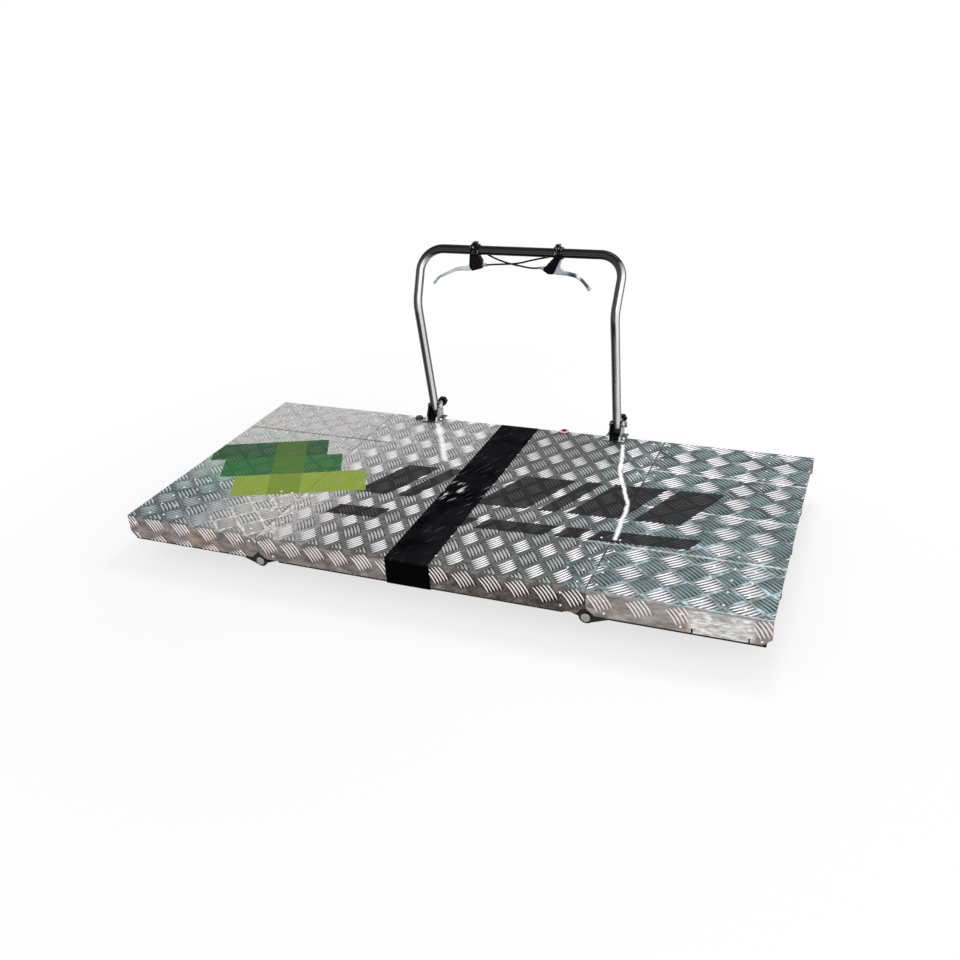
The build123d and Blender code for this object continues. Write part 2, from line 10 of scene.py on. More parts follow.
import bpy
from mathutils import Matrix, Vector


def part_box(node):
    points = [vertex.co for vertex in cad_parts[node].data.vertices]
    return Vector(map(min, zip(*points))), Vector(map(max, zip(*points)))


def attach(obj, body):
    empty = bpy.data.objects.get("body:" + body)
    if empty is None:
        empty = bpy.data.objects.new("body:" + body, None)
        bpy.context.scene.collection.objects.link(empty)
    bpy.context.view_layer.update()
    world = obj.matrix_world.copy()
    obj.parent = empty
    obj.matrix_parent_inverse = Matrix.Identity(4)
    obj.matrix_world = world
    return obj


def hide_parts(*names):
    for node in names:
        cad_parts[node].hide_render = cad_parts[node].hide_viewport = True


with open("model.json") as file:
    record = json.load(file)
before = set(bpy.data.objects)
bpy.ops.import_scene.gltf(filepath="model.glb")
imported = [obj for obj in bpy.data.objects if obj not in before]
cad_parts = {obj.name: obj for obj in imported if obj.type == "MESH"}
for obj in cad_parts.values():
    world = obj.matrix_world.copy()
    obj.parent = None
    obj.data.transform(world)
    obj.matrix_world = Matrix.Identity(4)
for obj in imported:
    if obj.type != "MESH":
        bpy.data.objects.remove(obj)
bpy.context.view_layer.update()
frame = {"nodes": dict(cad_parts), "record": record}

MM = 0.001

# Deck places, from the part's own sizes
DECK_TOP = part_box("center_plate")[1].z
DECK_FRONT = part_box("center_plate")[0].y
DECK_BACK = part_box("center_plate")[1].y
SKIRT_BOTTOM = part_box("center_plate")[0].z
BAND = (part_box("cover_band")[0].x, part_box("cover_band")[1].x)
CORNER_CUT = (22 * MM, 19 * MM)
LEG_X = 285 * MM
LEG_BEND = DECK_TOP + 300 * MM
BLACK_FROM = DECK_TOP + 484.5 * MM
CLAMP_GRIP = DECK_TOP + 510 * MM
# No tread on the bend of the plate, nor on the right flap's skirts where tape covers them
SMOOTH_BEND = 5 * MM
TAPED = (652 * MM, 786 * MM)
SKIRT_SLOTS = (660 * MM, 778 * MM)
PANELS = {
    "left_flap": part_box("left_flap_plate"),
    "center_deck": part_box("center_plate"),
    "right_flap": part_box("right_flap_plate"),
}

# Tread: five bars side by side make a group, and two crossed families of groups fill a panel
Family = namedtuple("Family", "lean stack first pitch length bow height finish")
TOP_LEAN = atan2(92.8, 66.1)
FLAP_LEAN = atan2(74.5, 87.0)
BARS = 5
BAR_WIDTH = 6 * MM
# Each family wears a bar finish of painted light: a painted highlight or painted shade
TREAD = {
    "left_flap": (
        Family(FLAP_LEAN, (0.0065, -0.0070), (-0.702, -0.279), (0.0825, 0.0745),
               0.048, 0.25, 0.0007, "dull_bars"),
        Family(-FLAP_LEAN, (0.0065, 0.0070), (-0.662, -0.2418), (0.0825, 0.0745),
               0.048, -0.2, 0.0012, "dull_bars"),
    ),
    "center_deck": (
        Family(TOP_LEAN, (0.0051, -0.0072), (0.097, -0.255), (0.0661, 0.0928),
               0.045, 0.25, 0.0015, "bright_bars"),
        Family(-TOP_LEAN, (0.0051, 0.0072), (0.130, -0.3014), (0.0661, 0.0928),
               0.045, -0.2, 0.0015, "dull_bars"),
    ),
    "right_flap": (
        Family(FLAP_LEAN, (0.0067, -0.0070), (0.499, -0.295), (0.088, 0.0745),
               0.051, 0.3, 0.0015, "bright_bars"),
        Family(-FLAP_LEAN, (0.0067, 0.0070), (0.543, -0.2578), (0.088, 0.0745),
               0.051, -0.2, 0.0015, "dull_bars"),
    ),
}

# Skirt tread: rows of bright groups in the painted-highlight bar finish, and a row of dim ones down the
# middle panel
Row = namedtuple("Row", "first_x z")
SkirtRows = namedtuple("SkirtRows", "pitch bright dim")
SKIRT = {
    "left_flap": SkirtRows(0.0825, (Row(-0.656, -0.014), Row(-0.650, -0.070)), ()),
    "center_deck": SkirtRows(0.0661, (Row(0.070, -0.023),), (Row(0.103, -0.047),)),
    "right_flap": SkirtRows(0.0873, (Row(0.546, -0.023),), ()),
}
BRIGHT_LEAN = radians(-56)
BRIGHT_STACK = (0.0082, 0.0036)
DIM_LEAN = radians(40)
DIM_STACK = (0.0070, -0.0060)
SKIRT_BAR = 0.046
SKIRT_BAR_WIDTH = 4.4 * MM
SKIRT_BAR_BOW = -0.5

# Tread ends this far inside its panel, so that a seam stays open, and this far under the bend
SEAM_CLEARANCE = 0.6 * MM
BEND_CLEARANCE = 1.2 * MM
# Bars and domes reach this far into the plate
SUNK = 0.1 * MM
SEAM_SLICE = 1 * MM
# The painted shade under the groups of bars runs on this far past the end of its panel
PANEL_MARGIN = 2 * MM


# Shader maths as Python expressions
class Wire:
    """A shader output that takes part in ordinary arithmetic."""

    def __init__(self, finish, socket):
        self.finish = finish
        self.socket = socket

    def _math(self, operation, *values):
        return self.finish.node("ShaderNodeMath", {"operation": operation}, *values)

    def __add__(self, other):
        return self._math("ADD", self, other)

    def __radd__(self, other):
        return self._math("ADD", other, self)

    def __sub__(self, other):
        return self._math("SUBTRACT", self, other)

    def __rsub__(self, other):
        return self._math("SUBTRACT", other, self)

    def __mul__(self, other):
        return self._math("MULTIPLY", self, other)

    def __rmul__(self, other):
        return self._math("MULTIPLY", other, self)

    def __abs__(self):
        return self._math("ABSOLUTE", self)

    def _step(self, edge, soft, before, after):
        return self.finish.node("ShaderNodeMapRange", {}, self, edge - soft, edge + soft, before, after)

    def above(self, edge, soft=0.0005):
        """1 where the value is over the edge, 0 under it."""
        return self._step(edge, soft, 0.0, 1.0)

    def below(self, edge, soft=0.0005):
        """1 where the value is under the edge, 0 over it."""
        return self._step(edge, soft, 1.0, 0.0)

    def between(self, low, high, soft=0.0005):
        return self.above(low, soft) * self.below(high, soft)

    def wrap(self, period):
        return self._math("FLOORED_MODULO", self, period)

    def larger(self, other):
        return self._math("MAXIMUM", self, other)


class Finish:
    """One material: its shader, and the nodes that vary it over the piece."""

    def __init__(self, name, color, roughness, metallic=0.0, coat=0.0, shine=0.5):
        self.material = bpy.data.materials.new(name)
        self.material.use_nodes = True
        self.tree = self.material.node_tree
        self.shader = self.tree.nodes["Principled BSDF"]
        self.shader.inputs["Base Color"].default_value = (*color, 1)
        self.shader.inputs["Roughness"].default_value = roughness
        self.shader.inputs["Metallic"].default_value = metallic
        self.shader.inputs["Coat Weight"].default_value = coat
        self.shader.inputs["Coat Roughness"].default_value = 0.08
        self.shader.inputs["Specular IOR Level"].default_value = shine
        self.material.diffuse_color = (*color, 1)

    def node(self, kind, settings, *values, out=0, **named):
        """A node of this kind, set up first and then fed; gives its output as a Wire."""
        node = self.tree.nodes.new(kind)
        for key, value in settings.items():
            if key == "stops":
                self._set_stops(node.color_ramp, value)
            else:
                setattr(node, key, value)
        fed = [(node.inputs[i], v) for i, v in enumerate(values)]
        fed += [(node.inputs[k], v) for k, v in named.items()]
        for socket, value in fed:
            if isinstance(value, Wire):
                self.tree.links.new(value.socket, socket)
            else:
                socket.default_value = value
        return Wire(self, node.outputs[out])

    @staticmethod
    def _set_stops(ramp, stops):
        while len(ramp.elements) > 1:
            ramp.elements.remove(ramp.elements[-1])
        for i, (position, color) in enumerate(stops):
            stop = ramp.elements[0] if i == 0 else ramp.elements.new(position)
            stop.position = position
            stop.color = (*color, 1)

    def _coordinates(self, out):
        point = self.node("ShaderNodeTexCoord", {}, out=out)
        split = self.tree.nodes.new("ShaderNodeSeparateXYZ")
        self.tree.links.new(point.socket, split.inputs[0])
        return point, *(Wire(self, split.outputs[i]) for i in range(3))

    def place(self):
        """The point on the piece, in metres, and its x, y and z."""
        return self._coordinates("Object")

    def facing(self):
        """The direction that the surface faces, as x, y and z."""
        return self._coordinates("Normal")[1:]

    def stretched(self, point, scale):
        return self.node("ShaderNodeMapping", {}, Vector=point, Scale=scale)

    def noise(self, point, scale, detail=3.0, rough=0.55):
        return self.node(
            "ShaderNodeTexNoise", {"noise_dimensions": "3D"},
            Vector=point, Scale=scale, Detail=detail, Roughness=rough,
        )

    def ramp(self, value, stops):
        return self.node("ShaderNodeValToRGB", {"stops": stops}, value)

    def mix(self, factor, first, second, how="MIX"):
        """Mixes two colours."""
        node = self.tree.nodes.new("ShaderNodeMix")
        node.data_type = "RGBA"
        node.blend_type = how
        for key, value in ((0, factor), (6, first), (7, second)):
            if isinstance(value, Wire):
                self.tree.links.new(value.socket, node.inputs[key])
            elif key == 0:
                node.inputs[key].default_value = value
            else:
                node.inputs[key].default_value = (*value, 1)
        return Wire(self, node.outputs[2])

    def feed(self, name, value):
        self.tree.links.new(value.socket, self.shader.inputs[name])

    def bump(self, height, strength, distance):
        node = self.tree.nodes.new("ShaderNodeBump")
        node.inputs["Strength"].default_value = strength
        node.inputs["Distance"].default_value = distance
        self.tree.links.new(height.socket, node.inputs["Height"])
        self.tree.links.new(node.outputs[0], self.shader.inputs["Normal"])


# Finishes: folds of the clear film with painted highlights and painted shade along them, painted
# reflections of the legs, as places on the deck, and its tints
FOLD_HIGHLIGHT_LINES = (0.211, 0.014, -0.186)
SHADED_FOLD_LINE = 0.192
RIGHT_LEG_REFLECTION = ((0.316, 0.342), (0.348, 0.189), (0.417, 0.007), (0.431, -0.166))
LEFT_LEG_REFLECTION = ((-0.270, 0.368), (-0.218, 0.277), (-0.175, 0.196), (-0.134, 0.120))
PALE_REFLECTION = (0.50, 0.485, 0.48)
WARM_SKIRT = (1.50, 1.23, 1.17)


def grey(value):
    return (value, value, value)


def any_of(masks):
    """Where at least one of the masks is on."""
    whole = masks[0]
    for mask in masks[1:]:
        whole = whole.larger(mask)
    return whole


def group_mask(x, y, family):
    """Where the groups of one family stand on the plate."""
    along = (cos(family.lean), sin(family.lean))
    stack = family.stack
    span = stack[0] * along[1] - stack[1] * along[0]
    half = (family.pitch[0] / 2, family.pitch[1] / 2)
    u = (x - (family.first[0] - half[0])).wrap(family.pitch[0]) - half[0]
    v = (y - (family.first[1] - half[1])).wrap(family.pitch[1]) - half[1]
    across = (u * along[1] - v * along[0]) * (1 / span)
    down = (v * stack[0] - u * stack[1]) * (1 / span)
    return abs(across).below(BARS / 2 + 0.1, 0.15) * abs(down).below(family.length * 0.49, 0.0015)


def groove_shade_masks(x, y):
    """Where the plate gets painted shade under the rising and under the falling groups, over all three
    panels.
    """
    masks = []
    for index in range(2):
        parts = []
        for body, families in TREAD.items():
            low, high = PANELS[body]
            here = x.between(low.x - PANEL_MARGIN, high.x + PANEL_MARGIN)
            parts.append(group_mask(x, y, families[index]) * here)
        masks.append(any_of(parts))
    return masks


def skirt_groove_shade(x, y, z):
    """Where the plate gets painted shade under the bright and under the dim groups of both skirts."""
    along = x * (1 - 2 * y.above(0))
    low = z - DECK_TOP
    masks = []
    for kind, lean, stack in (("bright", BRIGHT_LEAN, BRIGHT_STACK), ("dim", DIM_LEAN, DIM_STACK)):
        parts = []
        for body, rows in SKIRT.items():
            first, last = (corner.x for corner in PANELS[body])
            here = x.between(first - PANEL_MARGIN, last + PANEL_MARGIN)
            for row in getattr(rows, kind):
                family = Family(lean, stack, (row.first_x, row.z), (rows.pitch, 1.0), SKIRT_BAR, 0, 0, "")
                parts.append(group_mask(along, low, family) * here)
        masks.append(any_of(parts))
    return masks


# Prints on the deck
DARK_ROWS = (
    # slope, y from, y to, blocks as leaned x from and x to
    (0.056, -0.091, 0.084, ((-0.259, -0.165), (-0.137, -0.092), (0.078, 0.218), (0.248, 0.293),
                            (0.323, 0.458), (0.488, 0.603))),
    (0.075, -0.211, -0.161, ((-0.222, -0.082), (0.073, 0.153), (0.178, 0.353), (0.378, 0.433),
                             (0.458, 0.693))),
)


def dark_print(x, y):
    """Two rows of plain slanted blocks."""
    lean = x - (y - x * DARK_ROWS[0][0]) * 0.45
    blocks = []
    for slope, low, high, places in DARK_ROWS:
        row = (y - x * slope).between(low, high)
        blocks += [lean.between(x0, x1) * row for x0, x1 in places]
    return any_of(blocks)


GREEN_FLAGS = (
    # leaned x from and to, slanted y from and to, color
    (-0.830, -0.450, 0.040, 0.150, (0.001, 0.060, 0.010)),
    (-0.780, -0.400, -0.080, 0.040, (0.004, 0.105, 0.012)),
    (-0.730, -0.320, -0.210, -0.080, (0.215, 0.300, 0.020)),
)


def green_print(finish, x, y, color, cover):
    """Three slanted flags in greens and one that crosses them."""
    slant = y - (x + 0.57) * 0.38
    lean = x + y * 0.5
    masks = []
    for x0, x1, low, high, tint in GREEN_FLAGS:
        flag = lean.between(x0, x1) * slant.between(low, high)
        color = finish.mix(flag * cover, color, tint)
        masks.append(flag)
    crossing = lean.between(-0.620, -0.520) * slant.between(-0.210, 0.150)
    color = finish.mix(crossing * 0.5, color, (0.10, 0.17, 0.012))
    return color, any_of(masks)


def green_reflection(finish, point, x, y):
    """A faint painted green reflection of the flags, in patches round them."""
    blotch = finish.noise(finish.stretched(point, (1.0, 1.6, 1.0)), 9.0, 3.0).above(0.52, 0.05)
    return blotch * x.between(-0.80, -0.52, 0.06) * y.between(-0.28, 0.16, 0.05)


def reflection_line(x, y, points, half_width):
    """A painted reflection of one of the legs in the clear film: a narrow line from point to point, from
    back to front.
    """
    stripes = []
    for (x0, y0), (x1, y1) in zip(points, points[1:]):
        middle = x - (y - y0) * ((x1 - x0) / (y1 - y0)) - x0
        stripes.append(abs(middle).below(half_width, half_width * 0.6) * y.between(y1, y0, 0.004))
    return any_of(stripes)


def film_folds(finish, point, x, y):
    """The folds of the clear film as painted light: white painted reflections of the legs, painted
    highlights along pale lines to the right and painted shade along one to the left.
    """
    wander = finish.noise(finish.stretched(point, (6.0, 6.0, 1.0)), 4.0, 5.0) * 0.016 - 0.008
    bent = x + wander * 0.8
    # Painted reflections of the two legs, in white
    white = any_of([
        reflection_line(bent, y, RIGHT_LEG_REFLECTION, 0.0045),
        reflection_line(bent, y, LEFT_LEG_REFLECTION, 0.008) * 0.8,
    ])
    # Painted highlights along fold lines to the right, broken up by noise
    lines = any_of([abs(y + wander - fold).below(0.0028, 0.0018) for fold in FOLD_HIGHLIGHT_LINES])
    highlight_breaks = finish.noise(finish.stretched(point, (1.0, 3.0, 1.0)), 22.0, 3.0).above(0.48, 0.08)
    lines = lines * x.above(0.36, 0.1) * (0.25 + highlight_breaks * 0.45) * (1 - dark_print(x, y))
    # Painted shade along a fold to the left
    dark = abs(y + wander * 0.3 - SHADED_FOLD_LINE).below(0.0024, 0.0012) * x.between(-0.83, -0.34, 0.02)
    return any_of([white, lines]), dark


def deck_tints(finish, x, y, z, color, wash, teal=1.0, left=PALE_REFLECTION, warm=WARM_SKIRT):
    """Pale to the left as a painted reflection, bluish in the front left corner and teal to the right;
    warm skirts.
    """
    side = z.below(DECK_TOP - 0.005, 0.002)
    top = 1 - side
    corner = x.below(-0.62, 0.07) * y.below(-0.086, 0.12) * top
    # Painted reflection: the top turns pale to the left, outside the front left corner
    pale = x.below(-0.33, 0.10) * (1 - corner) * top
    color = finish.mix(pale * wash, color, left)
    shore = x.between(-0.36, -0.07, 0.06) * y.above(0.094, 0.12) * top
    color = finish.mix(shore * 0.45, color, (0.66, 0.65, 0.65))
    dusk = x.between(0.0, 0.34, 0.08) * y.above(0.12, 0.10) * top
    color = finish.mix(dusk, color, grey(0.80), "MULTIPLY")
    color = finish.mix(corner * 0.9, color, (0.98, 1.13, 1.22), "MULTIPLY")
    right = x.above(0.34, 0.16) * top * teal
    color = finish.mix(right, color, (0.84, 1.03, 1.06), "MULTIPLY")
    return finish.mix(side * 0.9, color, warm, "MULTIPLY"), side


def skirt_marks(finish, x, z, side, crumple, color):
    """A brown reflection to the left, a smooth taped stretch to the right with two slots painted near
    black as shade.
    """
    low = z - DECK_TOP
    brown = (x + low * 0.95).between(-0.655, -0.585, 0.004) * side
    color = finish.mix(brown * 0.75, color, (0.30, 0.175, 0.125))
    shade = (x + low * 0.95).between(-0.585, -0.565, 0.006) * side
    color = finish.mix(shade * 0.7, color, (0.06, 0.05, 0.045))
    taped = x.between(*TAPED, 0.008) * side
    color = finish.mix(x.above(0.427, 0.003) * side * 0.5, color, (0.46, 0.41, 0.385))
    color = finish.mix(x.below(-0.05, 0.03) * side * 0.35, color, (0.40, 0.35, 0.33))
    rusty = (x + low * 0.6).between(0.600, 0.632, 0.006) * low.below(-0.022, 0.008) * side
    color = finish.mix(rusty * 0.5, color, (0.36, 0.22, 0.15))
    streaks = finish.ramp(
        crumple, ((0.36, (0.50, 0.48, 0.46)), (0.50, (1.0, 1.0, 1.0)), (0.64, (1.45, 1.42, 1.40))),
    )
    color = finish.mix(side * 0.8, color, streaks, "MULTIPLY")
    film = finish.node("ShaderNodeCombineXYZ", {}, x * 16 + low * 30, 0.0, low * 60 - x * 12)
    folds = finish.noise(film, 2.2, 8.0, 0.7)
    creased = finish.ramp(
        folds, ((0.36, (0.34, 0.33, 0.32)), (0.50, (0.66, 0.65, 0.64)), (0.60, (1.0, 1.0, 1.0))),
    )
    color = finish.mix(taped * 0.9, color, creased)
    lozenge = (x + low * 0.8).between(0.685, 0.728, 0.003) * low.between(-0.022, -0.004, 0.002) * side
    color = finish.mix(lozenge * 0.5, color, (0.26, 0.25, 0.24))
    # The two slots are painted near black: painted shade in place of openings
    half_slot = 1.2 * MM
    slots = any_of([x.between(place - half_slot, place + half_slot) for place in SKIRT_SLOTS])
    return finish.mix(slots * low.below(-0.052), color, grey(0.01))


def printed(finish, point, x, y, side, color, metallic, roughness, ink, green_cover):
    """The prints and the film's folds over a colour, with the painted light on the film: a green
    reflection, reflections of the legs, highlights and shade along folds; they take the metal's shine
    away.
    """
    top = 1 - side
    white, line = film_folds(finish, point, x, y)
    # Painted green reflection of the flags
    color = finish.mix(green_reflection(finish, point, x, y) * top * 0.8, color, (0.72, 1.02, 0.80), "MULTIPLY")
    dark = dark_print(x, y) * top
    color = finish.mix(dark * 0.985, color, (ink, ink, ink * 1.1))
    greened, green = green_print(finish, x, y, color, green_cover)
    color = finish.mix(top, color, greened)
    # Painted shade along that fold, near black
    color = finish.mix(line * top * 0.85, color, grey(0.05))
    # Painted reflections of the legs and painted highlights along folds, near white
    color = finish.mix(white * top, color, grey(0.97))
    cover = any_of([dark, green * top, white * top])
    finish.feed("Base Color", color)
    finish.feed("Metallic", metallic * (1 - cover * 0.97))
    finish.feed("Roughness", roughness + cover * 0.15)


def plate_finish():
    """Rolled aluminium plate under clear film."""
    finish = Finish("tread_plate", grey(0.2), 0.36, metallic=0.7, shine=0.1)
    point, x, y, z = finish.place()
    cloud = finish.noise(finish.stretched(point, (3.0, 6.0, 3.0)), 3.0, 4.0)
    color = finish.ramp(cloud, ((0.30, (0.078, 0.081, 0.081)), (0.70, (0.145, 0.148, 0.145))))
    color, side = deck_tints(finish, x, y, z, color, 0.78 + 0.14 * y.below(-0.05, 0.12))
    top = 1 - side
    milky = x.between(-0.63, -0.38, 0.06) * y.below(-0.08, 0.10) * top
    color = finish.mix(milky, color, (1.22, 1.20, 1.18), "MULTIPLY")
    bluish = x.above(0.44, 0.05) * y.below(-0.06, 0.12) * top
    color = finish.mix(bluish * 0.55, color, (0.30, 0.37, 0.385))
    patchy = finish.noise(finish.stretched(point, (1.0, 1.7, 1.0)), 15.0, 4.0)
    teal_side = x.above(0.40, 0.06) * top
    color = finish.mix(patchy.above(0.55, 0.05) * teal_side * 0.5, color, (0.44, 0.60, 0.64))
    color = finish.mix(patchy.below(0.44, 0.05) * teal_side * 0.8, color, (0.50, 0.56, 0.56), "MULTIPLY")
    rising, falling = groove_shade_masks(x, y)
    # Painted shade in the gaps between the bars, weak only over the back of the left flap
    groove_shade_strength = any_of([x.above(-0.40, 0.10), y.below(-0.06, 0.16) * 0.85])
    groove_shade_strength = (0.12 + groove_shade_strength * 0.88) * top
    color = finish.mix(rising * groove_shade_strength, color, (0.36, 0.33, 0.34), "MULTIPLY")
    color = finish.mix(falling * groove_shade_strength, color, (0.22, 0.24, 0.24), "MULTIPLY")
    bright, dim = skirt_groove_shade(x, y, z)
    # Painted shade under the skirt groups, but not on the tape
    bare_side = side * (1 - x.between(*TAPED))
    color = finish.mix(bright * bare_side, color, (0.32, 0.26, 0.24), "MULTIPLY")
    color = finish.mix(dim * bare_side * 0.6, color, (0.45, 0.42, 0.40), "MULTIPLY")
    glints = finish.noise(finish.stretched(point, (1.0, 1.0, 1.6)), 90.0, 4.0)
    mottle = finish.ramp(glints, ((0.34, grey(0.62)), (0.50, grey(1.0)), (0.66, grey(1.5))))
    color = finish.mix(0.8, color, mottle, "MULTIPLY")
    # Painted highlight along the bend of the plate, stronger on the right flap
    bend = any_of([y.below(DECK_FRONT + SMOOTH_BEND), z.between(DECK_TOP - 0.004, DECK_TOP - 0.0005)])
    bend_highlight = bend * top * (0.25 + 0.45 * x.above(0.42, 0.05))
    color = finish.mix(bend_highlight, color, (0.36, 0.355, 0.35))
    crumple = finish.noise(finish.stretched(point, (1.0, 1.0, 2.5)), 26.0, 5.0)
    color = skirt_marks(finish, x, z, side, crumple, color)
    streak = finish.noise(finish.stretched(point, (1.0, 9.0, 9.0)), 9.0, 5.0)
    printed(finish, point, x, y, side, color, 0.7, 0.26 + 0.2 * streak, 0.004, 0.97)
    finish.bump(streak, 0.2, 0.001)
    return finish.material


def bar_finish(name, dark, light, metallic, wash, teal):
    """The tops of one family of tread bars, coloured as painted light: near white for a painted
    highlight, grey for painted shade.
    """
    finish = Finish(name, light, 0.3, metallic=metallic, shine=0.1)
    point, x, y, z = finish.place()
    cloud = finish.noise(finish.stretched(point, (3.0, 6.0, 3.0)), 3.0, 4.0)
    color = finish.ramp(cloud, ((0.35, dark), (0.65, light)))
    on_top = z.above(DECK_TOP - 0.003)
    # The painted highlight and shade are toned down at the back, over the front and to the right
    far = y.above(0.08, 0.16) * x.below(0.36, 0.1) * on_top
    color = finish.mix(far * 0.9, color, (0.74, 0.76, 0.76), "MULTIPLY")
    near = y.below(0.12, 0.16) * on_top
    color = finish.mix(near, color, grey(0.80), "MULTIPLY")
    dusky = x.above(0.42, 0.02) * on_top * teal
    color = finish.mix(dusky, color, (0.62, 0.64, 0.64), "MULTIPLY")
    inner = y.above(-0.32, 0.08)
    # The bars take a lighter painted reflection to the left
    color, side = deck_tints(
        finish, x, y, z, color, inner * wash, teal, left=(0.60, 0.585, 0.58), warm=(1.0, 0.96, 0.96),
    )
    printed(finish, point, x, y, side, color, metallic, 0.3, 0.030, 0.90)
    return finish.material


def band_finish():
    """Deep black film drawn over the middle, with long thin wrinkles and a patchy sheen, both painted
    highlights in grey.
    """
    finish = Finish("black_band", (0.002, 0.002, 0.0025), 0.4, shine=0.0)
    point, x, y, z = finish.place()
    along = x * 0.46 + y * 0.89
    across = x * 0.89 - y * 0.46
    strokes = finish.node("ShaderNodeCombineXYZ", {}, along * 16, across * 120, z * 16)
    folds = finish.noise(strokes, 1.0, 2.0)
    top = z.above(DECK_TOP - 0.004, 0.004)
    sheen = finish.noise(point, 9.0, 2.0).above(0.45, 0.12) * top
    film = finish.mix(sheen, (0.002, 0.002, 0.0025), (0.009, 0.009, 0.011))
    # Painted highlights along the wrinkles: grey lines, paler on the highest and in a tangle near the
    # middle
    film = finish.mix(folds.above(0.64, 0.03) * top * 0.8, film, (0.04, 0.04, 0.045))
    reach = (x + 0.044) * (x + 0.044) + (y + 0.040) * (y + 0.040) * 0.35
    knot = folds.above(0.60, 0.02) * reach.below(0.0010, 0.0003)
    bright = any_of([folds.above(0.74, 0.01) * 0.4, knot]) * top
    finish.feed("Base Color", finish.mix(bright, film, grey(0.6)))
    finish.bump(folds, 0.3, 0.002)
    return finish.material


def tube_finish():
    """Polished legs that turn black towards the cross bar. By the way the tube faces, the legs carry a
    painted white highlight down one side and painted dark reflections round the rest, with streaky edges,
    and the bar a painted highlight line.
    """
    finish = Finish("polished_tube", grey(0.6), 0.2, metallic=1.0)
    point, x, _, z = finish.place()
    nx, ny, nz = finish.facing()
    around = nx * 0.92 + ny * 0.39
    streak = finish.noise(finish.stretched(point, (3.0, 3.0, 1.2)), 6.0, 4.0)
    # Painted highlight and painted reflections round the legs, by facing
    leg = finish.ramp(
        around * 0.5 + 0.5 + (streak - 0.5) * 0.08,
        ((0.0, grey(0.22)), (0.07, grey(0.11)), (0.26, grey(0.085)), (0.38, grey(0.17)),
         (0.48, (0.42, 0.41, 0.41)), (0.53, grey(0.98)), (0.79, grey(0.98)),
         (0.84, (0.17, 0.16, 0.16)), (0.95, grey(0.11))),
    )
    # Painted shade on the back of the legs above the bend
    upper = z.above(LEG_BEND, 0.04) * around.below(-0.1, 0.1)
    leg = finish.mix(upper, leg, (0.6, 0.62, 0.63), "MULTIPLY")
    # The right-hand leg below the bend: its own painted highlight and reflections
    pale_leg = finish.ramp(
        around * 0.5 + 0.5 + (streak - 0.5) * 0.06,
        ((0.0, grey(0.40)), (0.10, (0.09, 0.085, 0.085)), (0.20, (0.09, 0.085, 0.085)),
         (0.30, (0.55, 0.53, 0.53)), (0.46, (0.90, 0.89, 0.89)), (0.53, grey(0.98)),
         (0.76, grey(0.98)), (0.82, (0.32, 0.31, 0.31)), (0.92, grey(0.18))),
    )
    leg = finish.mix(x.above(0.0) * z.below(LEG_BEND, 0.03), leg, pale_leg)
    # The black bar: a painted highlight line along it, by facing
    bar = finish.ramp(
        nz * 0.5 + 0.5 + (streak - 0.5) * 0.1,
        ((0.28, (0.005, 0.005, 0.006)), (0.38, (0.030, 0.033, 0.034)), (0.43, (0.13, 0.14, 0.14)),
         (0.49, (0.022, 0.024, 0.026)), (0.66, (0.048, 0.052, 0.054)), (0.78, (0.020, 0.022, 0.023)),
         (0.95, (0.008, 0.008, 0.009))),
    )
    black = z.above(BLACK_FROM, 0.018)
    # The metal is dulled where the highlight is painted, so that it shows
    stripe = around.between(0.04, 0.60, 0.04) * (1 - black)
    finish.feed("Metallic", 1 - stripe * 0.97)
    finish.feed("Base Color", finish.mix(black, leg, bar))
    finish.feed("Roughness", 0.24 + black * 0.12)
    return finish.material


def bracket_finish():
    """Bare steel cheeks with black edges, and a near-black inside as painted shade; the toes carry a
    painted highlight.
    """
    finish = Finish("bracket_steel", (0.3, 0.3, 0.31), 0.35, metallic=0.7)
    point, x, y, z = finish.place()
    nx = finish.facing()[0]
    cloud = finish.noise(point, 60.0, 4.0)
    steel = finish.ramp(cloud, ((0.35, (0.16, 0.165, 0.17)), (0.65, (0.42, 0.43, 0.44))))
    from_leg = abs(abs(x) - LEG_X)
    cheek = from_leg.above(0.0160, 0.0004) * abs(nx).above(0.6, 0.1)
    tab = from_leg.above(0.0182, 0.0004) * z.above(DECK_TOP + 0.010)
    cheek = any_of([cheek, tab])
    # Near black on the black edges, and on the inside as painted shade
    color = finish.ramp(cloud, ((0.40, (0.010, 0.010, 0.012)), (0.70, (0.07, 0.072, 0.076))))
    color = finish.mix(cheek, color, steel)
    # Painted highlight on the toes of the cheeks
    toe = z.between(DECK_TOP + 0.004, DECK_TOP + 0.015, 0.003) * y.below(DECK_BACK - 0.028, 0.003)
    finish.feed("Base Color", finish.mix(toe * from_leg.above(0.0125), color, (0.80, 0.82, 0.84)))
    return finish.material


def clamp_finish():
    """Black lever clamps with a few pale flecks where they grip the bar, painted glints."""
    finish = Finish("clamp_plastic", (0.003, 0.003, 0.0035), 0.4, shine=0.08)
    point, *_, z = finish.place()
    speck = finish.noise(point, 210.0, 1.0)
    # Painted glints in pale flecks on the clamps' top
    flecks = speck.above(0.65, 0.03) * z.above(CLAMP_GRIP, 0.004)
    finish.feed("Base Color", finish.mix(flecks, (0.003, 0.003, 0.0035), (0.50, 0.51, 0.52)))
    return finish.material


